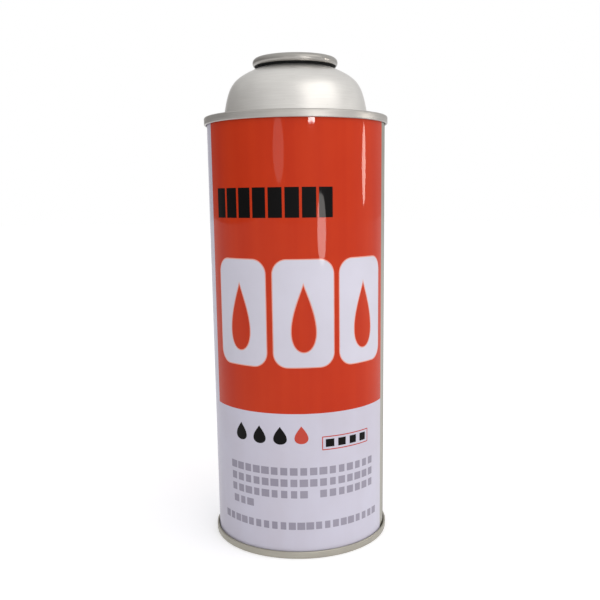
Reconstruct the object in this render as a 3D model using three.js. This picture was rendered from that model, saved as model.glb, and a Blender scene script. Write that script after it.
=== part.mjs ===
// Fuel canister: a slim tinplate can with a double-seamed dome and base and a one-inch valve.
// Millimetres, +Z up. The origin is the centre of the ring that the can stands on.
// The sealed can, with the fuel in it, is one solid. The valve's own pieces sit in its mouth.
import * as THREE from 'three';

// Can: the printed body and the two seams that close it.
const BODY_RADIUS = 32.65;
const BODY_GAUGE = 0.25;
const END_GAUGE = 0.36;
const CAN_HEIGHT = 158.0;
const SEAM_STAND = 1.0;
const SEAM_HEIGHT = 2.75;
const SEAM_NOSE = 0.6;
const SEAM_LIP = 0.55;
const SEAM_FLAT = 0.4;
const SEAM_CLEARANCE = 0.12;
const CREVICE_WIDTH = 0.25;
const CREVICE_DEPTH = 0.9;
const COUNTERSINK_DEPTH = 4.3;
const COUNTERSINK_FILLET = 0.9;

// Base panel, pressed inwards.
const BASE_PANEL_INSET = 1.22;
const BASE_PANEL_RISE = 5.2;

// Dome: a flat groove inside the seam, a steep wall and a shoulder up to the mouth.
// The shoulder's pull points are radii and heights above the seam.
const GROOVE_WIDTH = 5.47;
const DOME_FOOT_INSET = 0.45;
const DOME_FOOT_RISE = 0.25;
const SHOULDER_LOW = [24.05, 11.58];
const SHOULDER_HIGH = [22.55, 12.84];
const DOME_RISE = 16.65;
const DOME_MARGIN = 1.7;

// Mouth: the neck ends in an outward curl, and the cup's rim is rolled over it.
const MOUTH_RADIUS = 12.7;
const NECK_ROOT_RISE = 0.3;
const NECK_ROOT_FILLET = 0.35;
const CURL_RADIUS = 1.1;
const CURL_RISE = 2.47;
const GASKET_THICKNESS = 0.2;
const GASKET_LEG = 1.07;
const FIT_CLEARANCE = 0.05;
const CAVITY_CLEARANCE = 0.3;

// Valve cup: depths are taken from the top of its rim, the crimp from the middle of the curl.
const CUP_GAUGE = 0.28;
const CUP_SKIRT_ANGLE = -45;
const CRIMP_DROP = 3.92;
const CRIMP_SPREAD = 1.04;
const CRIMP_HALF_HEIGHT = 0.5;
const CRIMP_FLARE = 1.05;
const CRIMP_BEND = 0.25;
const CUP_DEPTH = 8.25;
const CUP_FLOOR_FILLET = 1.0;
const PEDESTAL_RADIUS = 5.3;
const PEDESTAL_DROP = 1.4;
const PEDESTAL_FILLET = 0.9;

// Stem and what seals, guides and returns it.
const STEM_RADIUS = 1.95;
const STEM_MARGIN = 0.2;
const STEM_TRAVEL = 2.0;
const STEM_CHAMFER = 0.25;
const STEM_BORE_RADIUS = 0.8;
const STEM_BORE_FLOOR = 0.5;
const STEM_HOLE_CLEARANCE = 0.15;
const COLLAR_RADIUS = 3.1;
const COLLAR_HEIGHT = 2.2;
const SPIGOT_RADIUS = 1.3;
const SPIGOT_LENGTH = 3.4;
const SEAL_THICKNESS = 1.0;
const HOUSING_WALL = 0.9;
const HOUSING_INNER_RADIUS = 3.5;
const HOUSING_DEPTH = 13.0;
const HOUSING_FLOOR = 1.2;
const TAIL_RADIUS = 2.2;
const TAIL_LENGTH = 5.0;
const TAIL_BORE = 0.9;
const SPRING_WIRE = 0.5;
const SPRING_RADIUS = 2.45;
const SPRING_TURNS = 6;

const SEGMENTS = 48;
const SMALL_SEGMENTS = 24;
const SPRING_STEPS = 12;
const WIRE_SIDES = 6;

// Radii and heights that follow from the sizes above.
const seamRadius = BODY_RADIUS + SEAM_STAND;
const chuckTop = BODY_RADIUS - BODY_GAUGE - SEAM_CLEARANCE;
const chuckFoot = chuckTop - END_GAUGE;
const panelEdge = chuckFoot - BASE_PANEL_INSET;
const grooveInner = chuckFoot - GROOVE_WIDTH;
const grooveFloor = CAN_HEIGHT - COUNTERSINK_DEPTH;
const domeTop = CAN_HEIGHT + DOME_RISE;
const curlCentre = [MOUTH_RADIUS + CURL_RADIUS, domeTop + CURL_RISE];
const rimRadius = CURL_RADIUS + GASKET_THICKNESS + 2 * FIT_CLEARANCE + CUP_GAUGE / 2;
const rimTop = curlCentre[1] + rimRadius + CUP_GAUGE / 2;
const cupWall = curlCentre[0] - rimRadius;
const crimpHeight = curlCentre[1] - CRIMP_DROP;
const cupFloor = rimTop - CUP_DEPTH;
const pedestalTop = rimTop - PEDESTAL_DROP;
const stemTip = pedestalTop + STEM_TRAVEL + STEM_MARGIN;
const sealTop = pedestalTop - CUP_GAUGE - FIT_CLEARANCE;
const sealFoot = sealTop - SEAL_THICKNESS;
const housingTop = sealFoot - FIT_CLEARANCE;
const housingFoot = housingTop - HOUSING_DEPTH;
const housingOuter = HOUSING_INNER_RADIUS + HOUSING_WALL;
const tailFoot = housingFoot - TAIL_LENGTH;
const collarTop = sealFoot - FIT_CLEARANCE;
const collarFoot = collarTop - COLLAR_HEIGHT;

const canGroup = new THREE.Group();

function arc(centre, radius, fromDegrees, toDegrees, steps) {
  const points = [];
  for (let i = 0; i <= steps; i += 1) {
    const a = THREE.MathUtils.degToRad(fromDegrees + ((toDegrees - fromDegrees) * i) / steps);
    points.push([centre[0] + radius * Math.cos(a), centre[1] + radius * Math.sin(a)]);
  }
  return points;
}

function bezier(p0, p1, p2, p3, steps) {
  const at = (k) => new THREE.Vector2(k[0], k[1]);
  const curve = new THREE.CubicBezierCurve(at(p0), at(p1), at(p2), at(p3));
  return curve.getSpacedPoints(steps).map((p) => [p.x, p.y]);
}

// Turns a profile of [radius, height] about the can's axis. It runs up the outside.
function turned(name, profile, segments, look) {
  const points = profile.map((p) => new THREE.Vector2(p[0], p[1]));
  const geometry = new THREE.LatheGeometry(points, segments);
  geometry.rotateX(Math.PI / 2);
  const mesh = new THREE.Mesh(geometry, new THREE.MeshStandardMaterial(look));
  mesh.name = name;
  canGroup.add(mesh);
  return mesh;
}

// Offsets an open path to both sides by half the gauge and closes it into a sheet's section.
function sheet(path, gauge) {
  const left = [];
  const right = [];
  path.forEach((p, i) => {
    const before = path[Math.max(i - 1, 0)];
    const after = path[Math.min(i + 1, path.length - 1)];
    const a = new THREE.Vector2(p[0] - before[0], p[1] - before[1]).normalize();
    const b = new THREE.Vector2(after[0] - p[0], after[1] - p[1]).normalize();
    const along = i === 0 ? b : i === path.length - 1 ? a : a.clone().add(b).normalize();
    const stretch = i === 0 || i === path.length - 1 ? 1 : 1 / Math.max(along.dot(a), 0.5);
    const reach = (gauge / 2) * stretch;
    left.push([p[0] - along.y * reach, p[1] + along.x * reach]);
    right.push([p[0] + along.y * reach, p[1] - along.x * reach]);
  });
  return [...right, ...left.reverse(), right[0]];
}

// The sealed can. Its section runs from the middle of the base outwards, up and into the mouth.
function baseSection() {
  const panelRadius = (panelEdge ** 2 + BASE_PANEL_RISE ** 2) / (2 * BASE_PANEL_RISE);
  const edgeAngle = THREE.MathUtils.radToDeg(Math.acos(panelEdge / panelRadius));
  const centre = [0, COUNTERSINK_DEPTH + BASE_PANEL_RISE - panelRadius];
  const panel = arc(centre, panelRadius, 90, edgeAngle, 6);
  panel[0][0] = 0;
  return [
    ...panel,
    ...countersink().reverse(),
    [chuckTop, SEAM_NOSE],
    [chuckTop + SEAM_NOSE / 4, SEAM_NOSE / 4],
    [seamRadius - SEAM_NOSE - SEAM_FLAT, 0],
  ];
}

// Fillet between a chuck wall and its panel, for a seam that starts at z 0.
function countersink() {
  const bend = COUNTERSINK_FILLET;
  return [
    [chuckFoot, COUNTERSINK_DEPTH - bend],
    [chuckFoot - 0.3 * bend, COUNTERSINK_DEPTH - 0.3 * bend],
    [chuckFoot - bend, COUNTERSINK_DEPTH],
  ].reverse();
}

// Outer side of one seam, from its nose to the crevice at the body, for a seam that starts at z 0.
function seamSection() {
  return [
    ...arc([seamRadius - SEAM_NOSE, SEAM_NOSE], SEAM_NOSE, -90, 0, 3),
    ...arc([seamRadius - SEAM_LIP, SEAM_HEIGHT - SEAM_LIP], SEAM_LIP, 0, 100, 3),
    [BODY_RADIUS + CREVICE_WIDTH + SEAM_CLEARANCE, SEAM_HEIGHT - CREVICE_DEPTH / 2],
    [BODY_RADIUS + CREVICE_WIDTH, SEAM_HEIGHT - CREVICE_DEPTH],
    [BODY_RADIUS, SEAM_HEIGHT - CREVICE_DEPTH],
  ];
}

function domeSection() {
  const foot = [grooveInner - DOME_FOOT_INSET, CAN_HEIGHT + DOME_FOOT_RISE];
  const low = [SHOULDER_LOW[0], CAN_HEIGHT + SHOULDER_LOW[1]];
  const high = [SHOULDER_HIGH[0], CAN_HEIGHT + SHOULDER_HIGH[1]];
  const top = [MOUTH_RADIUS + DOME_MARGIN, domeTop];
  return [
    [seamRadius - SEAM_NOSE - SEAM_FLAT, CAN_HEIGHT],
    [chuckTop + SEAM_NOSE / 4, CAN_HEIGHT - SEAM_NOSE / 4],
    [chuckTop, CAN_HEIGHT - SEAM_NOSE],
    ...countersink().reverse().map((p) => [p[0], CAN_HEIGHT - p[1]]),
    [grooveInner + COUNTERSINK_FILLET, grooveFloor],
    [grooveInner + 0.3 * COUNTERSINK_FILLET, grooveFloor + 0.3 * COUNTERSINK_FILLET],
    [grooveInner, grooveFloor + COUNTERSINK_FILLET],
    ...bezier(foot, low, high, top, 9),
  ];
}

function mouthSection() {
  const root = domeTop + NECK_ROOT_RISE;
  const neck = MOUTH_RADIUS + END_GAUGE;
  const cavityFloor = cupFloor - CUP_GAUGE - CAVITY_CLEARANCE;
  const crimp = cupWall + CRIMP_SPREAD + CUP_GAUGE / 2 + CAVITY_CLEARANCE;
  const crimpReach = CRIMP_HALF_HEIGHT + CRIMP_FLARE + CAVITY_CLEARANCE;
  const housingHole = housingOuter + CAVITY_CLEARANCE;
  const tailHole = TAIL_RADIUS + CAVITY_CLEARANCE;
  return [
    [neck + NECK_ROOT_FILLET, root],
    [neck, root + NECK_ROOT_FILLET],
    ...arc(curlCentre, CURL_RADIUS, -115, 180, 8),
    [MOUTH_RADIUS, crimpHeight + crimpReach],
    [crimp, crimpHeight + CRIMP_HALF_HEIGHT],
    [crimp, crimpHeight - CRIMP_HALF_HEIGHT],
    [MOUTH_RADIUS, crimpHeight - crimpReach],
    [MOUTH_RADIUS, cavityFloor],
    [housingHole, cavityFloor],
    [housingHole, housingFoot - CAVITY_CLEARANCE],
    [tailHole, housingFoot - CAVITY_CLEARANCE],
    [tailHole, tailFoot - CAVITY_CLEARANCE],
    [0, tailFoot - CAVITY_CLEARANCE],
  ];
}

const lowSeam = seamSection();
const highSeam = lowSeam.map((p) => [p[0], CAN_HEIGHT - p[1]]).reverse();
const canSection = [...baseSection(), ...lowSeam, ...highSeam, ...domeSection(), ...mouthSection()];
turned('can', canSection, SEGMENTS, { color: 0xb83a22, roughness: 0.32, metalness: 0.2 });

// Valve cup: one pressing, rolled over the curl, crimped under the neck, with a raised pedestal.
const floorLine = cupFloor - CUP_GAUGE / 2;
const pedestalLine = pedestalTop - CUP_GAUGE / 2;
const pedestalWall = PEDESTAL_RADIUS - CUP_GAUGE / 2;
const crimpWall = cupWall + CRIMP_SPREAD;
const cupCorner = [cupWall - CUP_FLOOR_FILLET, floorLine + CUP_FLOOR_FILLET];
const pedestalFoot = [pedestalWall + PEDESTAL_FILLET, floorLine + PEDESTAL_FILLET];
const pedestalHead = [pedestalWall - PEDESTAL_FILLET, pedestalLine - PEDESTAL_FILLET];
const cupPath = [
  ...arc(curlCentre, rimRadius, CUP_SKIRT_ANGLE, 60, 4),
  ...arc(curlCentre, rimRadius, 75, 105, 1),
  ...arc(curlCentre, rimRadius, 120, 180, 2),
  [cupWall, crimpHeight + CRIMP_HALF_HEIGHT + CRIMP_FLARE],
  [crimpWall - CRIMP_BEND, crimpHeight + CRIMP_HALF_HEIGHT],
  [crimpWall, crimpHeight],
  [crimpWall - CRIMP_BEND, crimpHeight - CRIMP_HALF_HEIGHT],
  [cupWall, crimpHeight - CRIMP_HALF_HEIGHT - CRIMP_FLARE],
  ...arc(cupCorner, CUP_FLOOR_FILLET, 0, -90, 3),
  ...arc(pedestalFoot, PEDESTAL_FILLET, 270, 180, 3),
  ...arc(pedestalHead, PEDESTAL_FILLET, 0, 90, 3),
  [STEM_RADIUS + STEM_HOLE_CLEARANCE, pedestalLine],
];
const cupLook = { color: 0xc9c6bf, roughness: 0.25, metalness: 0.9 };
turned('valve_cup', sheet(cupPath, CUP_GAUGE), SEGMENTS, cupLook);

// Gasket: a thin ring of sealing compound between the curl and the cup's rim.
const gasketLine = CURL_RADIUS + FIT_CLEARANCE + GASKET_THICKNESS / 2;
const gasketPath = [
  ...arc(curlCentre, gasketLine, -10, 180, 5),
  [curlCentre[0] - gasketLine, curlCentre[1] - GASKET_LEG],
];
const rubberLook = { color: 0x232324, roughness: 0.82, metalness: 0 };
turned('cup_gasket', sheet(gasketPath, GASKET_THICKNESS), SEGMENTS, rubberLook);

// Seal washer under the pedestal, held there by the housing.
const sealInner = STEM_RADIUS + FIT_CLEARANCE;
const sealOuter = pedestalWall - CUP_GAUGE / 2 - PEDESTAL_FILLET;
const sealSection = [
  [sealInner, sealFoot],
  [sealOuter, sealFoot],
  [sealOuter, sealTop],
  [sealInner, sealTop],
  [sealInner, sealFoot],
];
turned('stem_seal', sealSection, SMALL_SEGMENTS, rubberLook);

// Housing: a plastic cup under the seal with a tail that draws from the can.
const housingSection = [
  [TAIL_BORE, tailFoot],
  [TAIL_RADIUS, tailFoot],
  [TAIL_RADIUS, housingFoot],
  [housingOuter, housingFoot],
  [housingOuter, housingTop],
  [HOUSING_INNER_RADIUS, housingTop],
  [HOUSING_INNER_RADIUS, housingFoot + HOUSING_FLOOR],
  [TAIL_BORE, housingFoot + HOUSING_FLOOR],
  [TAIL_BORE, tailFoot],
];
turned('valve_housing', housingSection, SMALL_SEGMENTS, { color: 0xe6e4dc, roughness: 0.5, metalness: 0 });

// Stem: it is pressed down by STEM_TRAVEL to open, and its collar shuts against the seal.
const spigotFoot = collarFoot - SPIGOT_LENGTH;
const stemSection = [
  [0, spigotFoot],
  [SPIGOT_RADIUS - STEM_CHAMFER, spigotFoot],
  [SPIGOT_RADIUS, spigotFoot + STEM_CHAMFER],
  [SPIGOT_RADIUS, collarFoot],
  [COLLAR_RADIUS, collarFoot],
  [COLLAR_RADIUS, collarTop - 2 * STEM_CHAMFER],
  [COLLAR_RADIUS - 2 * STEM_CHAMFER, collarTop],
  [STEM_RADIUS, collarTop],
  [STEM_RADIUS, stemTip - STEM_CHAMFER],
  [STEM_RADIUS - STEM_CHAMFER, stemTip],
  [STEM_BORE_RADIUS, stemTip],
  [STEM_BORE_RADIUS, collarTop + STEM_BORE_FLOOR],
  [0, collarTop + STEM_BORE_FLOOR],
];
turned('valve_stem', stemSection, SMALL_SEGMENTS, { color: 0xf1efe8, roughness: 0.45, metalness: 0 });

// Return spring: a coil between the housing's floor and the stem's collar, flat at both ends.
class Coil extends THREE.Curve {
  constructor(radius, foot, head, turns) {
    super();
    this.radius = radius;
    this.foot = foot;
    this.head = head;
    this.turns = turns;
  }

  getPoint(t, target = new THREE.Vector3()) {
    const angle = 2 * Math.PI * this.turns * t;
    const deadPart = 1 / this.turns;
    const climb = THREE.MathUtils.clamp((t - deadPart / 2) / (1 - deadPart), 0, 1);
    const rise = climb * climb * (3 - 2 * climb);
    const height = THREE.MathUtils.lerp(climb, rise, 0.35);
    const z = this.foot + (this.head - this.foot) * height;
    return target.set(this.radius * Math.cos(angle), this.radius * Math.sin(angle), z);
  }
}

const wireRadius = SPRING_WIRE / 2;
const springFoot = housingFoot + HOUSING_FLOOR + FIT_CLEARANCE + wireRadius;
const springHead = collarFoot - FIT_CLEARANCE - wireRadius;
const wire = new THREE.Shape();
wire.absarc(0, 0, wireRadius, 0, 2 * Math.PI, false);
const springGeometry = new THREE.ExtrudeGeometry(wire, {
  steps: SPRING_TURNS * SPRING_STEPS,
  curveSegments: WIRE_SIDES / 2,
  extrudePath: new Coil(SPRING_RADIUS, springFoot, springHead, SPRING_TURNS),
});
const springLook = new THREE.MeshStandardMaterial({ color: 0xb9bcc0, roughness: 0.25, metalness: 1 });
const spring = new THREE.Mesh(springGeometry, springLook);
spring.name = 'valve_spring';
canGroup.add(spring);

export default canGroup;
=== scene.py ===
import math

import bmesh
import bpy
from mathutils import Matrix, Vector


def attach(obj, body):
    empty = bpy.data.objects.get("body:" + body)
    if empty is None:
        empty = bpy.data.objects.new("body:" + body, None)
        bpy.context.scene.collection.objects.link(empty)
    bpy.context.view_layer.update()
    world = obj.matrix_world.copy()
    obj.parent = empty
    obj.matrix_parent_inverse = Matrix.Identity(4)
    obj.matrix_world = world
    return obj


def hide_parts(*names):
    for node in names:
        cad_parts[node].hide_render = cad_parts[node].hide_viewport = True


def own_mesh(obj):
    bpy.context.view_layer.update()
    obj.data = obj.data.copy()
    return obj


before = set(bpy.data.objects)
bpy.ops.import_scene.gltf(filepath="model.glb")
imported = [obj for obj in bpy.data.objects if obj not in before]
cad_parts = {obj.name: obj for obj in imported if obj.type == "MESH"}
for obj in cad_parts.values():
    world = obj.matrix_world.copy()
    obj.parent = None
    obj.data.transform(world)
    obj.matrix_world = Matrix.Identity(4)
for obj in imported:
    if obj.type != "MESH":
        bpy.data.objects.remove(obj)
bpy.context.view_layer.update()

MM = 0.001
SHARP_ANGLE = math.radians(40)
STEPS_ROUND = 160
FILLET_STEP = 9.0

# Sizes in millimetres, as in the solids. Only the groove and the dome are 0.35 mm fuller here, as the
# photograph shows them. Points of a section are (distance from the axis, height), and a third number is the
# fillet at that corner.
BODY_R = 32.65
SHEET_GAUGE = 0.25
SEAM_R = 33.65
SEAM_H = 2.75
SEAM_LIP = 0.55
SEAM_NOSE = 0.6
CAN_H = 158.0
CHUCK_TOP_R = 32.28
CHUCK_FOOT_R = 31.92
COUNTERSINK = 4.3
CREVICE_R = 32.9
CREVICE_DEPTH = 0.9
PANEL_R, PANEL_RISE = 30.7, 5.2
END_GAUGE = 0.3
GROOVE_R = 26.8
DOME = ((26.35, 158.25), (24.45, 169.85), (22.85, 171.2), (14.5, 174.95))
NECK_R = 13.06
MOUTH_R = 12.7
CURL = (13.8, 177.12)
CURL_R = 1.1
CUP_GAUGE = 0.28
CUP_RIM = 1.54
CUP_FLOOR = 170.55
CRIMP_R, CRIMP_Z = 13.3, 173.2
PEDESTAL_R = 5.3
PEDESTAL_TOP = 177.4
STEM_R = 1.95
STEM_TIP = 179.6
COLLAR_R = 3.1
COLLAR_FOOT, COLLAR_TOP = 173.82, 176.02
SPIGOT_R, SPIGOT_FOOT = 1.3, 170.42
BORE_R, BORE_FLOOR = 0.8, 176.52
SPRING_R, WIRE_R = 2.45, 0.25
SPRING_FOOT, SPRING_HEAD = 164.52, 173.498
SPRING_TURNS = 6

# Print: angles in degrees round the can from the middle of the front, heights in millimetres.
RED_LEFT, RED_RIGHT = -67.5, 69.0
BARE_RIGHT = 88.0
BACK_RED = (101.0, 262.0)
RED_FOOT = 54.2
PRINT_FOOT = SEAM_H - CREVICE_DEPTH
PRINT_HEAD = CAN_H - PRINT_FOOT
COLUMN_STEP = 2
INK_LIFT = 0.02
HALO_LIFT = 0.01
STRIP_WIDTH = 0.6
PLATE_FOOT, PLATE_HEIGHT, PLATE_CORNER = 71.0, 37.3, 5.0
DROP_FOOT, DROP_WIDTH, DROP_HEIGHT = 76.0, 9.2, 24.6
DROP_POINT = 1.3
HALO_WIDTH, HALO_AT_POINT = 0.35, 0.95

# The photograph's frame and the camera's sensor.
PHOTO_SIDE = 600
SENSOR_MM = 36.0

# The studio, with its lengths in metres.
FLOOR_REACH = 4
FLOOR_GLOW = 0.34
LAMP_AIM = 0.12


def srgb(code):
    """A hex colour as linear light."""
    parts = [int(code[i:i + 2], 16) / 255 for i in (1, 3, 5)]
    return (*(c / 12.92 if c <= 0.04045 else ((c + 0.055) / 1.055) ** 2.4 for c in parts), 1.0)


def add(tree, kind, settings=None, stops=(), **links):
    """One node with its settings, its ramp's stops and what feeds it.

    i0, i1 and so on name inputs by number, other names have underscores for spaces. A node given as a value
    feeds its first output.
    """
    node = tree.nodes.new(kind)
    for key, value in (settings or {}).items():
        setattr(node, key, value)
    for number, (place, code) in enumerate(stops):
        ramp = node.color_ramp.elements
        stop = ramp[number] if number < 2 else ramp.new(place)
        stop.position, stop.color = place, srgb(code)
    for name, value in links.items():
        key = int(name[1:]) if name[1:].isdigit() else name.replace("_", " ")
        if isinstance(value, bpy.types.Node):
            value = value.outputs[0]
        if isinstance(value, bpy.types.NodeSocket):
            tree.links.new(value, node.inputs[key])
        else:
            node.inputs[key].default_value = value
    return node


def new_material(name):
    material = bpy.data.materials.new(name)
    material.use_nodes = True
    material.node_tree.nodes.clear()
    return material, material.node_tree


def round_the_can(tree, round_scale, height_scale):
    """A place by arc length and height, in metres times the two scales, for lines that run round the can."""
    place = add(tree, "ShaderNodeSeparateXYZ", Vector=add(tree, "ShaderNodeTexCoord").outputs["Object"])
    turn = add(tree, "ShaderNodeMath", {"operation": "ARCTAN2"}, i0=place.outputs[0], i1=place.outputs[1])
    scale = BODY_R * MM * round_scale
    arc_length = add(tree, "ShaderNodeMath", {"operation": "MULTIPLY"}, i0=turn, i1=scale)
    height = add(tree, "ShaderNodeMath", {"operation": "MULTIPLY"}, i0=place.outputs[2], i1=height_scale)
    return add(tree, "ShaderNodeCombineXYZ", X=arc_length, Y=height)


def tinplate(name, light, dark, rough, ring_mm, run_mm, line_depth, metallic=0.92):
    """Electrolytic tinplate: steel strip with a film of tin, flow-brightened to a soft silver.

    ring_mm is how coarse its fine lines are up the can and run_mm how coarse they are round it. The real
    ones are about 0.05 mm apart, too fine to show, so they are drawn as coarse as the smaller of the two. Tin
    gives them a soft edge and a patchy sheen 10 mm across, and scuffs 1 mm across are a little shinier.
    """
    material, tree = new_material(name)
    lined = round_the_can(tree, 1.0 / run_mm, 1.0 / ring_mm)
    lines = add(tree, "ShaderNodeTexNoise", Vector=lined, Scale=1000.0, Detail=3.0, Roughness=0.6)
    place = add(tree, "ShaderNodeTexCoord").outputs["Object"]
    cloud = add(tree, "ShaderNodeTexNoise", Vector=place, Scale=100.0, Detail=4.0, Roughness=0.55)
    scuff = add(tree, "ShaderNodeTexNoise", Vector=place, Scale=900.0, Detail=5.0, Roughness=0.7)
    mixed = add(tree, "ShaderNodeMix", {"data_type": "FLOAT"}, i0=0.45, i2=lines, i3=cloud)
    colour = add(tree, "ShaderNodeValToRGB", stops=[(0.3, dark), (0.7, light)], Fac=mixed)
    satin = add(tree, "ShaderNodeMapRange", Value=mixed, i1=0.3, i2=0.7, i3=rough - 0.05, i4=rough + 0.06)
    rubbed = add(tree, "ShaderNodeMapRange", Value=scuff, i1=0.6, i2=0.75, i3=0.0, i4=0.08)
    shine = add(tree, "ShaderNodeMath", {"operation": "SUBTRACT"}, i0=satin, i1=rubbed)
    bump = add(tree, "ShaderNodeBump", Strength=line_depth, Distance=0.00004, Height=lines)
    shader = add(tree, "ShaderNodeBsdfPrincipled", Base_Color=colour, Metallic=metallic, Roughness=shine,
                 Normal=bump)
    add(tree, "ShaderNodeOutputMaterial", Surface=shader)
    return material


def litho(name, colour, shade, rough=0.4, coat=0.33, painted_reflection_weight=0.0):
    """Litho ink on white base coat on tinplate, under a stoved roller varnish.

    The ink is matt and even, with a drift of tone 30 mm across. Faint upright bands 6 mm wide that run up the
    sheet are painted reflection, standing for the uneven streaks that mirrored surroundings leave in the
    gloss.
    The varnish gives a thin clear gloss: its flow marks are 2 mm across, which makes reflections wander, and
    dust nibs 0.4 mm across break it. Handling leaves short rubs.
    """
    material, tree = new_material(name)
    place = add(tree, "ShaderNodeTexCoord").outputs["Object"]
    banded = round_the_can(tree, 1.0, 0.04)
    drift = add(tree, "ShaderNodeTexNoise", Vector=place, Scale=33.0, Detail=4.0, Roughness=0.55)
    # Painted reflection: upright bands of tone, mixed in by the weight given, stand for streaks mirrored in
    # the gloss.
    band = add(tree, "ShaderNodeTexNoise", Vector=banded, Scale=165.0, Detail=2.0, Roughness=0.5)
    mixed = add(tree, "ShaderNodeMix", {"data_type": "FLOAT"}, i0=painted_reflection_weight, i2=drift, i3=band)
    tone = add(tree, "ShaderNodeValToRGB", stops=[(0.36, shade), (0.64, colour)], Fac=mixed)
    nibs = add(tree, "ShaderNodeTexNoise", Vector=place, Scale=2500.0, Detail=1.0, Roughness=0.5)
    flow = add(tree, "ShaderNodeTexNoise", Vector=place, Scale=500.0, Detail=2.0, Roughness=0.5)
    surface = add(tree, "ShaderNodeMix", {"data_type": "FLOAT"}, i0=0.15, i2=flow, i3=nibs)
    rubs = round_the_can(tree, 0.25, 1.0)
    rub = add(tree, "ShaderNodeTexNoise", Vector=rubs, Scale=900.0, Detail=3.0, Roughness=0.65)
    shine = add(tree, "ShaderNodeMapRange", Value=rub, i1=0.4, i2=0.7, i3=rough - 0.03, i4=rough + 0.06)
    bump = add(tree, "ShaderNodeBump", Strength=0.04, Distance=0.00006, Height=surface)
    shader = add(tree, "ShaderNodeBsdfPrincipled", Base_Color=tone, Roughness=shine, Specular_IOR_Level=0.02,
                 Coat_Weight=coat, Coat_Roughness=0.03, Coat_IOR=1.48, Normal=bump, Coat_Normal=bump)
    add(tree, "ShaderNodeOutputMaterial", Surface=shader)
    return material


def moulded(name, colour, shade, rough, grain_mm, depth, ior=1.48):
    """Injection moulded or compression moulded polymer.

    Its colour is even with a slight drift, and the mould's spark eroded grain is given by its size.
    """
    material, tree = new_material(name)
    place = add(tree, "ShaderNodeTexCoord").outputs["Object"]
    drift = add(tree, "ShaderNodeTexNoise", Vector=place, Scale=180.0, Detail=3.0, Roughness=0.5)
    tone = add(tree, "ShaderNodeValToRGB", stops=[(0.35, shade), (0.65, colour)], Fac=drift)
    grain = add(tree, "ShaderNodeTexNoise", Vector=place, Scale=1000.0 / grain_mm, Detail=2.0, Roughness=0.5)
    shine = add(tree, "ShaderNodeMapRange", Value=grain, i1=0.3, i2=0.7, i3=rough - 0.05, i4=rough + 0.06)
    bump = add(tree, "ShaderNodeBump", Strength=depth, Distance=0.00005, Height=grain)
    shader = add(tree, "ShaderNodeBsdfPrincipled", Base_Color=tone, Roughness=shine, IOR=ior, Normal=bump)
    add(tree, "ShaderNodeOutputMaterial", Surface=shader)
    return material


# The printed sheet's inks, each with its usual tone and the one that it drifts to. The red ink and the white
# coat also carry upright bands of painted reflection in their tone.
RED_INK = litho("red_litho_ink", "#BE340E", "#B52C0A", painted_reflection_weight=0.55)
WHITE_COAT = litho("white_base_coat", "#C7C5D4", "#C1BDCA", rough=0.42, painted_reflection_weight=0.2)
PLATE_WHITE = litho("white_print", "#CDCBD8", "#C7C5D1")
HALO_PINK = litho("thin_red_over_white", "#DFA294", "#D48E80")
BLACK_INK = litho("black_litho_ink", "#080606", "#050404", rough=0.38, coat=0.2)
SMALL_RED_INK = litho("small_red_print", "#C0483A", "#B43C30")
GREY_INK = litho("small_black_print", "#9894A2", "#8F8B99", rough=0.42)

# Tinplate, named for what was done to it: rolled lines run up the body, and drawing and ironing lines run
# round the dome, the cup and the seams.
BODY_TIN = tinplate("rolled_tinplate", "#A3A194", "#8F8D80", rough=0.36, ring_mm=12.0, run_mm=0.35,
                    line_depth=0.1, metallic=0.85)
DOME_TIN = tinplate("drawn_tinplate", "#DCDAD6", "#CFCCC8", rough=0.34, ring_mm=0.5, run_mm=14.0,
                    line_depth=0.05)
TOP_SEAM_TIN = tinplate("ironed_seam_tinplate", "#BAB7B3", "#A6A39E", rough=0.4, ring_mm=0.35, run_mm=22.0,
                        line_depth=0.12)
BASE_TIN = tinplate("base_seam_tinplate", "#AEAA9F", "#9A968B", rough=0.42, ring_mm=0.35, run_mm=22.0,
                    line_depth=0.12)
CUP_TIN = tinplate("pressed_cup_tinplate", "#A7A49F", "#96938E", rough=0.3, ring_mm=0.4, run_mm=20.0,
                   line_depth=0.02, metallic=0.95)
WELD_STEEL = tinplate("weld_oxide", "#86827A", "#69655E", rough=0.45, ring_mm=0.8, run_mm=0.4,
                      line_depth=0.3, metallic=0.85)

# Nitrile rubber, compression moulded: nearly black and dull, with a fine dusty grain.
SEAL_RUBBER = moulded("nitrile_rubber", "#1E1E1F", "#141415", rough=0.75, grain_mm=1.2, depth=0.1, ior=1.52)
# Sealing compound, dried where it was squeezed out: black and fully matt. On the neck under the rim it is
# also painted shade, a black that stands for the deep shadow there as well as for the compound.
NECK_COMPOUND_AND_SHADE = moulded("sealing_compound_and_painted_shade", "#121212", "#0B0B0B", rough=0.85, grain_mm=1.4, depth=0.15, ior=1.5)
# Acetal, injection moulded: milky white with a waxy half gloss.
ACETAL = moulded("acetal_white", "#EDEBE3", "#E2E0D7", rough=0.38, grain_mm=1.1, depth=0.06)


def drawn_wire(name):
    """Stainless spring wire, drawn through dies: bright, with their fine marks drawn 0.4 mm across."""
    material, tree = new_material(name)
    place = add(tree, "ShaderNodeTexCoord").outputs["Object"]
    lines = add(tree, "ShaderNodeTexNoise", Vector=place, Scale=2500.0, Detail=2.0, Roughness=0.6)
    tone = add(tree, "ShaderNodeValToRGB", stops=[(0.3, "#A9ACB0"), (0.7, "#C4C6C9")], Fac=lines)
    shine = add(tree, "ShaderNodeMapRange", Value=lines, i1=0.3, i2=0.7, i3=0.2, i4=0.32)
    bump = add(tree, "ShaderNodeBump", Strength=0.08, Distance=0.00003, Height=lines)
    shader = add(tree, "ShaderNodeBsdfPrincipled", Base_Color=tone, Metallic=1.0, Roughness=shine,
                 Normal=bump)
    add(tree, "ShaderNodeOutputMaterial", Surface=shader)
    return material


SPRING_STEEL = drawn_wire("drawn_spring_steel")


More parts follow.
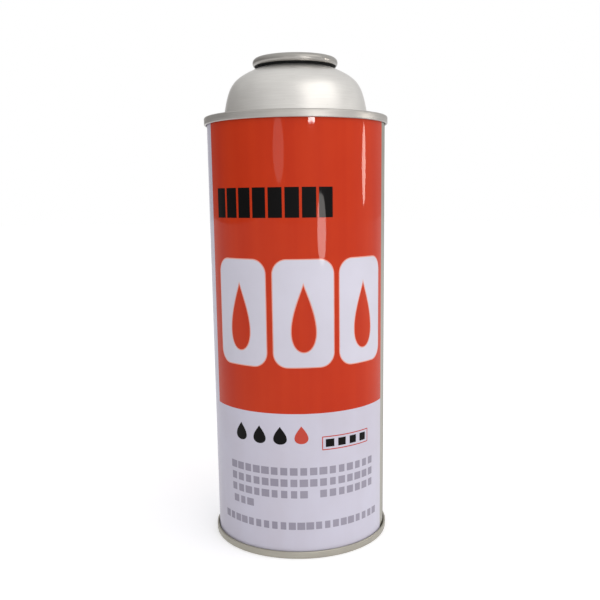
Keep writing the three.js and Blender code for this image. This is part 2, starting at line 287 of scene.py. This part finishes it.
def rounded(corners, loop=False):
    """Corner points (a, b, fillet) as a path, each corner turned by its fillet."""
    path = []
    count = len(corners)
    for i, corner in enumerate(corners):
        here = Vector(corner[:2])
        fillet = corner[2] if len(corner) > 2 else 0.0
        if fillet <= 0 or (not loop and i in (0, count - 1)):
            path.append((here.x, here.y))
            continue
        back = Vector(corners[i - 1][:2]) - here
        ahead = Vector(corners[(i + 1) % count][:2]) - here
        angle = back.angle(ahead)
        reach = fillet / math.tan(angle / 2)
        limit = 0.49 * min(back.length, ahead.length)
        if reach > limit:
            fillet *= limit / reach
            reach = limit
        a, b = back.normalized(), ahead.normalized()
        centre = here + (a + b).normalized() * (fillet / math.sin(angle / 2))
        first, last = here + a * reach - centre, here + b * reach - centre
        sweep = first.angle_signed(last)
        steps = max(2, math.ceil(abs(math.degrees(sweep)) / FILLET_STEP))
        for k in range(steps + 1):
            turn = -sweep * k / steps
            c, s = math.cos(turn), math.sin(turn)
            path.append((centre.x + first.x * c - first.y * s,
                         centre.y + first.x * s + first.y * c))
    return path


def arc(centre, radius, low, high, steps):
    """Points round a centre from one angle in degrees to another."""
    angles = [math.radians(low + (high - low) * k / steps) for k in range(steps + 1)]
    return [(centre[0] + radius * math.cos(a), centre[1] + radius * math.sin(a)) for a in angles]


def bezier(points, steps):
    """A smooth curve from the first of four points to the last."""
    path = []
    for k in range(steps + 1):
        t = k / steps
        weights = ((1 - t) ** 3, 3 * t * (1 - t) ** 2, 3 * t * t * (1 - t), t ** 3)
        path.append(tuple(sum(w * p[axis] for w, p in zip(weights, points)) for axis in (0, 1)))
    return path


def offset(path, gauge):
    """The path moved to its left by the gauge."""
    moved = []
    for i, point in enumerate(path):
        before, after = Vector(path[max(i - 1, 0)]), Vector(path[min(i + 1, len(path) - 1)])
        here = Vector(point)
        a = (here - before).normalized() if i else (after - here).normalized()
        b = (after - here).normalized() if i < len(path) - 1 else a
        along = (a + b).normalized()
        reach = gauge / max(along.dot(a), 0.6)
        moved.append((point[0] - along.y * reach, point[1] + along.x * reach))
    return moved


def piece_from(name, mesh, body, slot, *nodes):
    """Puts a finished mesh on its body and hides the solids that it stands for. The slot that it is given is
    not used.
    """
    piece = bpy.data.objects.new(name, mesh)
    bpy.context.scene.collection.objects.link(piece)
    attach(piece, body)
    if nodes:
        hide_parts(*nodes)
    return piece


def turned(name, section, looks, steps=STEPS_ROUND):
    """A closed section turned about the can's axis.

    looks is a list of (material, test), where the test says from a face's middle radius and height if it
    wears it. The first test that holds counts.
    """
    mesh = bpy.data.meshes.new(name)
    count = len(section)
    verts, faces = [], []
    for i in range(steps):
        angle = math.tau * i / steps
        verts += [(r * MM * math.sin(angle), -r * MM * math.cos(angle), z * MM) for r, z in section]
    for i in range(steps):
        j = (i + 1) % steps
        for k in range(count):
            n = (k + 1) % count
            faces.append((i * count + k, j * count + k, j * count + n, i * count + n))
    mesh.from_pydata(verts, [], faces)
    tests = []
    for material, test in looks:
        mesh.materials.append(material)
        tests.append(test)
    for number, polygon in enumerate(mesh.polygons):
        k = number % count
        r, z = ((section[k][axis] + section[(k + 1) % count][axis]) / 2 for axis in (0, 1))
        polygon.material_index = [test(r, z) for test in tests].index(True)
    bm = bmesh.new()
    bm.from_mesh(mesh)
    bmesh.ops.remove_doubles(bm, verts=bm.verts, dist=1e-7)
    bmesh.ops.recalc_face_normals(bm, faces=bm.faces)
    bm.to_mesh(mesh)
    bm.free()
    mesh.shade_smooth()
    mesh.set_sharp_from_angle(angle=SHARP_ANGLE)
    return mesh


def everywhere(r, z):
    """The test of a finish that covers all of a piece."""
    return True


def on_the_side(arc_mm, height_mm, radius):
    """A point on the can's side from its arc length round the front and its height."""
    angle = arc_mm / BODY_R
    return (radius * MM * math.sin(angle), -radius * MM * math.cos(angle), height_mm * MM)


def seam(side):
    """Corners of a double seam's outer skin, from the crevice at the body round to the chuck wall's foot."""
    corners = [(CREVICE_R, SEAM_H - CREVICE_DEPTH, 0), (CREVICE_R + 0.1, SEAM_H, 0.12),
               (SEAM_R, SEAM_H, SEAM_LIP), (SEAM_R, 0, SEAM_NOSE), (CHUCK_TOP_R, 0, 0.5),
               (CHUCK_FOOT_R, COUNTERSINK, 0.9)]
    return [(r, z if side == "base" else CAN_H - z, fillet) for r, z, fillet in corners]


def base_end():
    """The base: its seam, the countersink and the panel pressed inwards."""
    radius = (PANEL_R ** 2 + PANEL_RISE ** 2) / (2 * PANEL_RISE)
    edge = math.degrees(math.asin(PANEL_R / radius))
    crown = COUNTERSINK + PANEL_RISE
    panel = arc((0, crown - radius), radius, 90 - edge, 90, steps=18)
    skin = rounded([*seam("base"), (PANEL_R, COUNTERSINK, 0.4), (*panel[1], 0)]) + panel[2:-1]
    middle = [(0, crown), (0, crown + END_GAUGE)]
    return turned("base_end", skin + middle + offset(skin, -END_GAUGE)[::-1], [(BASE_TIN, everywhere)])


def dome_end():
    """The dome: its seam, the groove, the shoulder, the neck and the curl that the cup is rolled over."""
    outside = rounded([*seam("top"), (GROOVE_R, CAN_H - COUNTERSINK, 0.9), (*DOME[0], 0)])
    shoulder = bezier(DOME, steps=26)
    top = DOME[3][1]
    neck = rounded([DOME[3], (NECK_R, top + 0.42, 0.5), (NECK_R, top + 1.2, 0)])
    curl = arc(CURL, CURL_R, -122, 180, steps=22)
    skin = outside + shoulder[1:] + neck[1:] + curl + [(MOUTH_R, top + 0.3)]
    inner = [(MOUTH_R + 0.35, top - 0.1)] + offset(shoulder, END_GAUGE)[::-1]
    inner += offset(outside, END_GAUGE)[::-1][1:]
    # The neck under the rim is filled with this black, which reads as a dark line. It is partly compound
    # squeezed out there and partly painted shade for the deep shadow under the rim.
    looks = [(NECK_COMPOUND_AND_SHADE, lambda r, z: r > MOUTH_R + 0.1 and top + 0.2 < z < CURL[1] - 0.5),
             (TOP_SEAM_TIN, lambda r, z: r > CHUCK_TOP_R - 0.2 and z > CAN_H - SEAM_H - 0.1),
             (DOME_TIN, everywhere)]
    return turned("dome_end", skin + inner, looks)


piece_from("base_end", base_end(), "canister", "tinplate")
piece_from("dome_end", dome_end(), "canister", "tinplate", "can")


def body_sheet():
    """The printed side: one rolled sheet whose faces are white, red or bare by where they lie.

    Its columns stand at even steps once round the can, and at each edge between two colours.
    """
    even = range(int(BACK_RED[1]) - 360 + COLUMN_STEP, int(BACK_RED[1]), COLUMN_STEP)
    angles = sorted({RED_LEFT, RED_RIGHT, BARE_RIGHT, *BACK_RED, *(float(angle) for angle in even)})
    heights = [PRINT_FOOT, 3.4, RED_FOOT, 80.0, 105.0, 130.0, 155.0, PRINT_HEAD]
    white, inked, plain = 0, 1, 2
    verts, faces, wears = [], [], []
    rows, columns = len(heights), len(angles)
    for radius in (BODY_R, BODY_R - SHEET_GAUGE):
        for angle in angles:
            verts += [on_the_side(math.radians(angle) * BODY_R, z, radius) for z in heights]
    layer = rows * columns
    for i in range(columns):
        j = (i + 1) % columns
        middle = (angles[i] + (angles[j] if j else angles[0] + 360)) / 2
        bare = RED_RIGHT < middle < BARE_RIGHT
        red = RED_LEFT < middle < RED_RIGHT or BACK_RED[0] < middle < BACK_RED[1]
        for k in range(rows - 1):
            low, high = i * rows + k, j * rows + k
            wears.append(plain if bare else inked if red and heights[k] >= RED_FOOT else white)
            faces.append((low, high, high + 1, low + 1))
            wears.append(plain)
            faces.append((layer + low, layer + low + 1, layer + high + 1, layer + high))
        for k in (0, rows - 1):
            edge = (i * rows + k, layer + i * rows + k, layer + j * rows + k, j * rows + k)
            wears.append(plain)
            faces.append(edge if k == 0 else edge[::-1])
    mesh = bpy.data.meshes.new("body_sheet")
    mesh.from_pydata(verts, [], faces)
    for material in (WHITE_COAT, RED_INK, BODY_TIN):
        mesh.materials.append(material)
    mesh.polygons.foreach_set("material_index", wears)
    mesh.shade_smooth()
    mesh.set_sharp_from_angle(angle=SHARP_ANGLE)
    return mesh


piece_from("body_sheet", body_sheet(), "canister", "printed_tinplate")


def printed(name, ink, *outlines, lift=INK_LIFT):
    """A flat outline (arc, height) with its holes, cut into narrow strips and wrapped round the can.

    It is a film of ink, so it has no thickness, and it lies a hair off the sheet.
    """
    bm = bmesh.new()
    edges = []
    for outline in outlines:
        ring = [bm.verts.new((x, y, 0)) for x, y in outline]
        edges += [bm.edges.new((ring[i], ring[(i + 1) % len(ring)])) for i in range(len(ring))]
    bmesh.ops.triangle_fill(bm, use_beauty=True, use_dissolve=False, edges=edges)
    low = min(x for x, y in outlines[0])
    high = max(x for x, y in outlines[0])
    for cut in range(1, math.ceil((high - low) / STRIP_WIDTH)):
        plane = (low + STRIP_WIDTH * cut, 0, 0)
        every = [*bm.verts, *bm.edges, *bm.faces]
        bmesh.ops.bisect_plane(bm, geom=every, plane_co=plane, plane_no=(1, 0, 0))
    for face in bm.faces:
        if face.normal.z < 0:
            face.normal_flip()
    for vert in bm.verts:
        vert.co = on_the_side(vert.co.x, vert.co.y, BODY_R + lift)
    mesh = bpy.data.meshes.new(name)
    bm.to_mesh(mesh)
    bm.free()
    mesh.materials.append(ink)
    mesh.shade_smooth()
    return piece_from(name, mesh, "canister", "printed_tinplate")


def drop(x, foot, width, height, steps=56):
    """A drop standing on its round end."""
    def reach(turn):
        return math.sin(turn) * abs(math.sin(turn / 2)) ** DROP_POINT

    samples = 200
    widest = max(reach(math.pi * k / samples) for k in range(samples + 1))
    turns = [math.tau * k / steps for k in range(steps)]
    return [(x + reach(turn) / widest * width / 2, foot + height * (1 + math.cos(turn)) / 2)
            for turn in turns]


def plate(x, foot, width, height, fillet):
    """An upright rounded plate about x."""
    half, top = width / 2, foot + height
    corners = [(x - half, foot), (x + half, foot), (x + half, top), (x - half, top)]
    return rounded([(*corner, fillet) for corner in corners], loop=True)


# Three white plates with a drop left red in each, and a pale line of thin red round them where inks overlap.
for name, x, width in (("left", -22.35, 21.4), ("middle", 1.75, 21.4), ("right", 25.4, 21.0)):
    around = plate(x, PLATE_FOOT - HALO_WIDTH, width + 2 * HALO_WIDTH, PLATE_HEIGHT + 2 * HALO_WIDTH,
                   PLATE_CORNER + HALO_WIDTH)
    within = drop(x, DROP_FOOT + HALO_WIDTH, DROP_WIDTH - 2 * HALO_WIDTH,
                  DROP_HEIGHT - HALO_WIDTH - HALO_AT_POINT)
    printed(f"plate_{name}_line", HALO_PINK, around, within, lift=HALO_LIFT)
    printed(f"plate_{name}", PLATE_WHITE, plate(x, PLATE_FOOT, width, PLATE_HEIGHT, PLATE_CORNER),
            drop(x, DROP_FOOT, DROP_WIDTH, DROP_HEIGHT))


def print_rows():
    """Rows of plain blocks laid round the can."""
    tree = bpy.data.node_groups.new("print_rows", "GeometryNodeTree")
    face = tree.interface
    face.new_socket("Geometry", in_out="INPUT", socket_type="NodeSocketGeometry")
    for name, kind, value in (("Columns", "Int", 8), ("Rows", "Int", 1), ("Pitch", "Float", 5.0),
                              ("Row Pitch", "Float", 4.0), ("Block Width", "Float", 4.0),
                              ("Block Height", "Float", 4.0), ("Left", "Float", 0.0),
                              ("Middle", "Float", 0.0), ("Radius", "Float", BODY_R + INK_LIFT),
                              ("Narrowest", "Float", 1.0), ("Spaces", "Float", 0.0), ("Seed", "Int", 1)):
        face.new_socket(name, in_out="INPUT", socket_type="NodeSocket" + kind).default_value = value
    face.new_socket("Ink", in_out="INPUT", socket_type="NodeSocketMaterial")
    face.new_socket("Geometry", in_out="OUTPUT", socket_type="NodeSocketGeometry")
    given = add(tree, "NodeGroupInput").outputs

    gaps_across = add(tree, "ShaderNodeMath", {"operation": "SUBTRACT"}, i0=given["Columns"], i1=1.0)
    gaps_up = add(tree, "ShaderNodeMath", {"operation": "SUBTRACT"}, i0=given["Rows"], i1=1.0)
    span = add(tree, "ShaderNodeMath", {"operation": "MULTIPLY"}, i0=given["Pitch"], i1=gaps_across)
    tall = add(tree, "ShaderNodeMath", {"operation": "MULTIPLY"}, i0=given["Row Pitch"], i1=gaps_up)
    grid = add(tree, "GeometryNodeMeshGrid", i0=span, i1=tall, i2=given["Columns"], i3=given["Rows"])
    centre = add(tree, "ShaderNodeMath", {"operation": "MULTIPLY_ADD"}, i0=span, i1=0.5, i2=given["Left"])
    shift = add(tree, "ShaderNodeCombineXYZ", X=centre, Y=given["Middle"])
    placed = add(tree, "GeometryNodeTransform", Geometry=grid, Translation=shift)
    points = add(tree, "GeometryNodeMeshToPoints", Mesh=placed)
    # Some blocks are left out at random, and the others are narrowed at random.
    gap = add(tree, "FunctionNodeRandomValue", {"data_type": "BOOLEAN"}, Probability=given["Spaces"],
              Seed=given["Seed"])
    kept = add(tree, "GeometryNodeDeleteGeometry", {"domain": "POINT"}, Geometry=points,
               Selection=gap.outputs[3])
    # A block has three faces across, so that it bends with the can.
    block = add(tree, "GeometryNodeMeshGrid", i0=given["Block Width"], i1=given["Block Height"], i2=4, i3=2)
    width_seed = add(tree, "ShaderNodeMath", {"operation": "ADD"}, i0=given["Seed"], i1=5.0)
    width = add(tree, "FunctionNodeRandomValue", {"data_type": "FLOAT"}, i2=given["Narrowest"], i3=1.0,
                Seed=width_seed)
    size = add(tree, "ShaderNodeCombineXYZ", X=width.outputs[1], Y=1.0, Z=1.0)
    copies = add(tree, "GeometryNodeInstanceOnPoints", Points=kept, Instance=block, Scale=size)
    flat = add(tree, "GeometryNodeRealizeInstances", Geometry=copies)

    # The flat rows are laid round the can: x is an arc length there, and y a height.
    place = add(tree, "ShaderNodeSeparateXYZ", Vector=add(tree, "GeometryNodeInputPosition"))
    angle = add(tree, "ShaderNodeMath", {"operation": "DIVIDE"}, i0=place.outputs[0], i1=BODY_R)
    sine = add(tree, "ShaderNodeMath", {"operation": "SINE"}, i0=angle)
    cosine = add(tree, "ShaderNodeMath", {"operation": "COSINE"}, i0=angle)
    out = add(tree, "ShaderNodeMath", {"operation": "MULTIPLY"}, i0=given["Radius"], i1=MM)
    front = add(tree, "ShaderNodeMath", {"operation": "MULTIPLY"}, i0=given["Radius"], i1=-MM)
    right = add(tree, "ShaderNodeMath", {"operation": "MULTIPLY"}, i0=out, i1=sine)
    ahead = add(tree, "ShaderNodeMath", {"operation": "MULTIPLY"}, i0=front, i1=cosine)
    up = add(tree, "ShaderNodeMath", {"operation": "MULTIPLY"}, i0=place.outputs[1], i1=MM)
    on_can = add(tree, "ShaderNodeCombineXYZ", X=right, Y=ahead, Z=up)
    laid = add(tree, "GeometryNodeSetPosition", Geometry=flat, Position=on_can)
    inked = add(tree, "GeometryNodeSetMaterial", Geometry=laid, Material=given["Ink"])
    add(tree, "NodeGroupOutput", Geometry=inked)
    return tree


def spring_coil():
    """A compression spring with closed ends, from a spiral of wire."""
    tree = bpy.data.node_groups.new("spring_coil", "GeometryNodeTree")
    face = tree.interface
    face.new_socket("Geometry", in_out="INPUT", socket_type="NodeSocketGeometry")
    for name, kind, value in (("Turns", "Float", 6.0), ("Mean Radius", "Float", 2.0),
                              ("Wire Radius", "Float", 0.25), ("Foot", "Float", 0.0),
                              ("Length", "Float", 9.0), ("Points", "Int", 144)):
        face.new_socket(name, in_out="INPUT", socket_type="NodeSocket" + kind).default_value = value
    face.new_socket("Wire", in_out="INPUT", socket_type="NodeSocketMaterial")
    face.new_socket("Geometry", in_out="OUTPUT", socket_type="NodeSocketGeometry")
    given = add(tree, "NodeGroupInput").outputs
    line = add(tree, "GeometryNodeMeshLine", {"mode": "END_POINTS"}, i0=given["Points"], i3=(1.0, 0.0, 0.0))
    path = add(tree, "GeometryNodeMeshToCurve", Mesh=line)
    along = add(tree, "ShaderNodeSeparateXYZ", Vector=add(tree, "GeometryNodeInputPosition"))
    turned_by = add(tree, "ShaderNodeMath", {"operation": "MULTIPLY"}, i0=along.outputs[0], i1=given["Turns"])
    angle = add(tree, "ShaderNodeMath", {"operation": "MULTIPLY"}, i0=turned_by, i1=math.tau)
    sine = add(tree, "ShaderNodeMath", {"operation": "SINE"}, i0=angle)
    cosine = add(tree, "ShaderNodeMath", {"operation": "COSINE"}, i0=angle)
    radius = add(tree, "ShaderNodeMath", {"operation": "MULTIPLY"}, i0=given["Mean Radius"], i1=MM)
    across = add(tree, "ShaderNodeMath", {"operation": "MULTIPLY"}, i0=radius, i1=cosine)
    ahead = add(tree, "ShaderNodeMath", {"operation": "MULTIPLY"}, i0=radius, i1=sine)
    # Half a turn at each end lies flat, and the pitch opens softly between them.
    dead = add(tree, "ShaderNodeMath", {"operation": "DIVIDE"}, i0=0.5, i1=given["Turns"])
    live = add(tree, "ShaderNodeMath", {"operation": "SUBTRACT"}, i0=1.0, i1=dead)
    climb = add(tree, "ShaderNodeMapRange", Value=along.outputs[0], i1=dead, i2=live)
    soft = add(tree, "ShaderNodeMapRange", {"interpolation_type": "SMOOTHSTEP"}, Value=climb)
    rise = add(tree, "ShaderNodeMix", {"data_type": "FLOAT"}, i0=0.35, i2=climb, i3=soft)
    height = add(tree, "ShaderNodeMath", {"operation": "MULTIPLY_ADD"}, i0=rise, i1=given["Length"],
                 i2=given["Foot"])
    up = add(tree, "ShaderNodeMath", {"operation": "MULTIPLY"}, i0=height, i1=MM)
    spiral = add(tree, "ShaderNodeCombineXYZ", X=across, Y=ahead, Z=up)
    bent = add(tree, "GeometryNodeSetPosition", Geometry=path, Position=spiral)
    thick = add(tree, "ShaderNodeMath", {"operation": "MULTIPLY"}, i0=given["Wire Radius"], i1=MM)
    ring = add(tree, "GeometryNodeCurvePrimitiveCircle", Resolution=12, Radius=thick)
    wire = add(tree, "GeometryNodeCurveToMesh", i0=bent, i1=ring.outputs[0], Fill_Caps=True)
    coiled = add(tree, "GeometryNodeRealizeInstances", Geometry=wire)
    finished = add(tree, "GeometryNodeSetMaterial", Geometry=coiled, Material=given["Wire"])
    add(tree, "NodeGroupOutput", Geometry=finished)
    return tree


def grown(name, tree, values):
    """What a geometry tree makes from the named values, as a plain mesh."""
    carrier = bpy.data.objects.new(name + "_maker", bpy.data.meshes.new(name + "_maker"))
    bpy.context.scene.collection.objects.link(carrier)
    modifier = carrier.modifiers.new("maker", "NODES")
    modifier.node_group = tree
    sockets = {item.name: item.identifier for item in tree.interface.items_tree if item.in_out == "INPUT"}
    for key, value in values.items():
        modifier[sockets[key.replace("_", " ")]] = value
    bpy.context.view_layer.update()
    mesh = bpy.data.meshes.new_from_object(carrier.evaluated_get(bpy.context.evaluated_depsgraph_get()))
    bpy.data.objects.remove(carrier)
    mesh.name = name
    mesh.shade_smooth()
    return mesh


PRINT_ROWS = print_rows()


def block_rows(name, **values):
    """One field of blocks in its ink, on the printed sheet."""
    return piece_from(name, grown(name, PRINT_ROWS, values), "canister", "printed_tinplate")


# Places and sizes in millimetres: Left and x are arc lengths from the middle of the front.
block_rows("large_blocks", Ink=BLACK_INK, Columns=8, Pitch=5.84, Block_Width=4.9, Block_Height=10.2,
           Left=-30.95, Middle=127.6)
FINE_BLOCKS = {"Ink": GREY_INK, "Block_Width": 3.1, "Block_Height": 2.8, "Narrowest": 0.7}
block_rows("fine_rows", Columns=17, Rows=3, Pitch=3.58, Row_Pitch=4.3, Left=-27.6, Middle=28.6, Spaces=0.06,
           Seed=3, **FINE_BLOCKS)
block_rows("fine_rows_end", Columns=3, Pitch=3.5, Left=-26.8, Middle=19.8, Seed=4, **FINE_BLOCKS)
block_rows("foot_row", Columns=21, Pitch=3.25, Left=-32.6, Middle=12.3, Seed=8,
           **{**FINE_BLOCKS, "Block_Width": 2.9})
for number, (x, foot, ink) in enumerate(((-23.2, 43.0, BLACK_INK), (-15.2, 42.8, BLACK_INK),
                                         (-7.3, 42.9, BLACK_INK), (0.4, 43.2, SMALL_RED_INK))):
    printed(f"small_drop_{number + 1}", ink, drop(x, foot, width=5.0, height=6.6, steps=36))
printed("small_frame", SMALL_RED_INK, plate(17.9, foot=40.5, width=20.2, height=5.1, fillet=0.3),
        plate(17.9, foot=40.85, width=19.5, height=4.4, fillet=0.15))
block_rows("small_blocks", Ink=BLACK_INK, Columns=4, Pitch=4.75, Block_Width=3.4, Block_Height=2.9, Left=10.8,
           Middle=43.05, Narrowest=0.85, Seed=2)


def side_weld():
    """The lap of the side weld: a low ridge up the middle of the bare strip."""
    middle = math.radians((RED_RIGHT + BARE_RIGHT) / 2) * BODY_R
    section = [(-0.5, -0.03), (-0.38, 0.06), (0.0, 0.09), (0.38, 0.06), (0.5, -0.03)]
    short, steps = 0.3, 60
    low, high = PRINT_FOOT + short, PRINT_HEAD - short
    levels = [low + k * (high - low) / steps for k in range(steps + 1)]
    count = len(section)
    verts = [on_the_side(middle + x, z, BODY_R + lift) for z in levels for x, lift in section]
    faces = [(i * count + k, i * count + k + 1, (i + 1) * count + k + 1, (i + 1) * count + k)
             for i in range(steps) for k in range(count - 1)]
    mesh = bpy.data.meshes.new("side_weld")
    mesh.from_pydata(verts, [], faces)
    mesh.materials.append(WELD_STEEL)
    mesh.shade_smooth()
    return mesh


piece_from("side_weld", side_weld(), "canister", "printed_tinplate")


def valve_cup():
    """The cup: its rim over the curl, the crimp under the neck, the well and the pedestal."""
    wall = CURL[0] - CUP_RIM
    floor, top = CUP_FLOOR - CUP_GAUGE / 2, PEDESTAL_TOP - CUP_GAUGE / 2
    side = PEDESTAL_R - CUP_GAUGE / 2
    path = arc(CURL, CUP_RIM, -45, 180, steps=30)
    path += rounded([(wall, CURL[1] - 0.2), (wall, CRIMP_Z + 1.55, 0.5), (CRIMP_R, CRIMP_Z + 0.35, 0.5),
                     (CRIMP_R, CRIMP_Z - 0.35, 0.5), (wall, CRIMP_Z - 1.4, 0.5), (wall, floor, 1.0),
                     (side, floor, 0.9), (side, top, 0.9), (STEM_R + 0.15, top)])[1:]
    return turned("valve_cup_sheet", offset(path, -CUP_GAUGE / 2) + offset(path, CUP_GAUGE / 2)[::-1],
                  [(CUP_TIN, everywhere)])


def stem_moulding():
    """The stem: spigot, collar, tube and bore, with moulded edges."""
    section = rounded([(0, SPIGOT_FOOT), (SPIGOT_R, SPIGOT_FOOT, 0.25), (SPIGOT_R, COLLAR_FOOT, 0.1),
                       (COLLAR_R, COLLAR_FOOT, 0.15), (COLLAR_R, COLLAR_TOP, 0.4), (STEM_R, COLLAR_TOP, 0.1),
                       (STEM_R, STEM_TIP, 0.28), (BORE_R, STEM_TIP, 0.15), (BORE_R, BORE_FLOOR, 0.1),
                       (0, BORE_FLOOR)])
    return turned("stem_moulding", section, [(ACETAL, everywhere)], steps=64)


piece_from("valve_cup_sheet", valve_cup(), "canister", "tinplate", "valve_cup")
piece_from("stem_moulding", stem_moulding(), "stem", "valve_plastic", "valve_stem")

coil = piece_from("spring_coil", grown("spring_coil", spring_coil(), {
    "Turns": float(SPRING_TURNS), "Mean Radius": SPRING_R, "Wire Radius": WIRE_R, "Foot": SPRING_FOOT,
    "Length": SPRING_HEAD - SPRING_FOOT, "Points": 24 * SPRING_TURNS + 1, "Wire": SPRING_STEEL,
}), "canister", "spring_steel", "valve_spring")
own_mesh(coil)

for node, material in (("cup_gasket", SEAL_RUBBER), ("stem_seal", SEAL_RUBBER), ("valve_housing", ACETAL)):
    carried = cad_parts[node]
    carried.data.materials.clear()
    carried.data.materials.append(material)


def camera():
    """The photograph's view: place in millimetres, turn in radians, focal length and centre in its pixels."""
    focal, centre = 790.16, (312.0, 345.0)
    place, yaw, pitch, roll = (0.011, -301.727, 128.779), 0.01666, 0.18318, 0.01113
    ahead = Vector((math.sin(yaw) * math.cos(pitch), math.cos(yaw) * math.cos(pitch), -math.sin(pitch)))
    right = Vector((math.cos(yaw), -math.sin(yaw), 0.0))
    down = ahead.cross(right)
    right, down = (math.cos(roll) * right + math.sin(roll) * down,
                   math.cos(roll) * down - math.sin(roll) * right)
    data = bpy.data.cameras.new("camera")
    data.sensor_width = SENSOR_MM
    data.lens = focal / PHOTO_SIDE * SENSOR_MM
    data.shift_x = -(centre[0] - PHOTO_SIDE / 2) / PHOTO_SIDE
    data.shift_y = (centre[1] - PHOTO_SIDE / 2) / PHOTO_SIDE
    data.clip_start = 0.01
    made = bpy.data.objects.new("camera", data)
    turn = Matrix((right, -down, -ahead)).transposed().to_4x4()
    made.matrix_world = Matrix.Translation(Vector(place) * MM) @ turn
    bpy.context.scene.collection.objects.link(made)
    bpy.context.scene.camera = made


def window(name, turn, lift, distance, size, radiance, colour, shape):
    """A lamp shaped as a window, facing a point on the can's axis.

    turn is its bearing from the front to the right and lift how high it stands, both in degrees seen from
    that point. Sizes are in metres.
    """
    data = bpy.data.lights.new(name, "AREA")
    data.shape = shape
    data.size, data.size_y = size
    filled = math.pi / 4 if shape == "ELLIPSE" else 1.0
    data.energy = radiance * math.pi * size[0] * size[1] * filled
    data.color = srgb(colour)[:3]
    made = bpy.data.objects.new(name, data)
    a, e = math.radians(turn), math.radians(lift)
    ray = Vector((math.sin(a) * math.cos(e), -math.cos(a) * math.cos(e), math.sin(e)))
    made.location = Vector((0.0, 0.0, LAMP_AIM)) + ray * distance
    made.rotation_euler = ray.to_track_quat("Z", "Y").to_euler()
    made.visible_camera = False
    bpy.context.scene.collection.objects.link(made)


def floor():
    """A pale paper floor, white to the camera and in reflections, that keeps the can's shadow."""
    mesh = bpy.data.meshes.new("floor")
    corners = [(x * FLOOR_REACH, y * FLOOR_REACH, 0) for x, y in ((-1, -1), (1, -1), (1, 1), (-1, 1))]
    mesh.from_pydata(corners, [], [(0, 1, 2, 3)])
    material, tree = new_material("floor_paper")
    ray = add(tree, "ShaderNodeLightPath").outputs
    place = add(tree, "ShaderNodeTexCoord").outputs["Object"]
    fibre = add(tree, "ShaderNodeTexNoise", Vector=place, Scale=5.0, Detail=3.0)
    paper = add(tree, "ShaderNodeValToRGB", stops=[(0.3, "#E4E4E6"), (0.7, "#E9E9EB")], Fac=fibre)
    card = add(tree, "ShaderNodeBsdfDiffuse", Color=paper)
    mirrored = add(tree, "ShaderNodeMath", {"operation": "MAXIMUM"}, i0=ray["Is Glossy Ray"],
                   i1=ray["Is Transmission Ray"])
    shown = add(tree, "ShaderNodeMath", {"operation": "MAXIMUM"}, i0=ray["Is Camera Ray"], i1=mirrored)
    white = add(tree, "ShaderNodeMath", {"operation": "MULTIPLY"}, i0=shown, i1=FLOOR_GLOW)
    glow = add(tree, "ShaderNodeEmission", Strength=white)
    both = add(tree, "ShaderNodeAddShader", i0=card, i1=glow)
    add(tree, "ShaderNodeOutputMaterial", Surface=both)
    mesh.materials.append(material)
    made = bpy.data.objects.new("floor", mesh)
    bpy.context.scene.collection.objects.link(made)


def room():
    """A room that is lighter towards its window.

    The camera sees it white, and so do reflections in the part of it behind the can.
    """
    made = bpy.data.worlds.new("room")
    bpy.context.scene.world = made
    made.use_nodes = True
    tree = made.node_tree
    tree.nodes.clear()
    ray = add(tree, "ShaderNodeLightPath").outputs
    look = add(tree, "ShaderNodeTexCoord").outputs["Generated"]
    window_side = (0.45, -0.35, 0.82)
    towards = add(tree, "ShaderNodeVectorMath", {"operation": "DOT_PRODUCT"}, i0=look, i1=window_side)
    light = add(tree, "ShaderNodeMapRange", Value=towards.outputs["Value"], i1=-1.0, i2=1.0)
    tone = add(tree, "ShaderNodeValToRGB", Fac=light,
               stops=[(0.25, "#959391"), (0.375, "#B5B4B3"), (0.57, "#DADADA"), (0.72, "#F4F4F4"),
                      (0.85, "#F8F8F8"), (1.0, "#FFFFFF")])
    walls = add(tree, "ShaderNodeBackground", Color=tone, Strength=1.0)
    white = add(tree, "ShaderNodeBackground", Color=srgb("#FFFFFF"), Strength=1.0)
    ahead = add(tree, "ShaderNodeSeparateXYZ", Vector=look)
    behind = add(tree, "ShaderNodeMapRange", {"interpolation_type": "SMOOTHSTEP"}, Value=ahead.outputs[1],
                 i1=0.86, i2=0.97)
    mirrored = add(tree, "ShaderNodeMath", {"operation": "MAXIMUM"}, i0=ray["Is Glossy Ray"],
                   i1=ray["Is Transmission Ray"])
    backdrop = add(tree, "ShaderNodeMath", {"operation": "MULTIPLY"}, i0=mirrored, i1=behind)
    shown = add(tree, "ShaderNodeMath", {"operation": "MAXIMUM"}, i0=ray["Is Camera Ray"], i1=backdrop)
    mix = add(tree, "ShaderNodeMixShader", Fac=shown, i1=walls, i2=white)
    add(tree, "ShaderNodeOutputWorld", Surface=mix)


bpy.context.scene.view_settings.view_transform = "Standard"
camera()
floor()
room()
# The large window lights the can. The small ones are what its varnish mirrors as slivers and glints. The
# values are in the order that window names them.
for lamp in (
        ("large_window", 45, 40, 1.1, (1.08, 0.66), 0.85, "#FFFCF8", "RECTANGLE"),
        ("sliver_middle", 30.5, -2.2, 1.02, (0.20, 0.115), 15.5, "#FFF9F4", "ELLIPSE"),
        ("sliver_right", 94, 3.4, 1.0, (0.11, 0.125), 20.0, "#FFF6EC", "ELLIPSE"),
        ("glint_middle", 19, 7.6, 1.0, (0.14, 0.02), 60.0, "#FFFFFF", "RECTANGLE"),
        ("sheen_left", -22, 4.8, 1.0, (0.24, 0.10), 2.8, "#FFF6F0", "ELLIPSE")):
    window(*lamp)
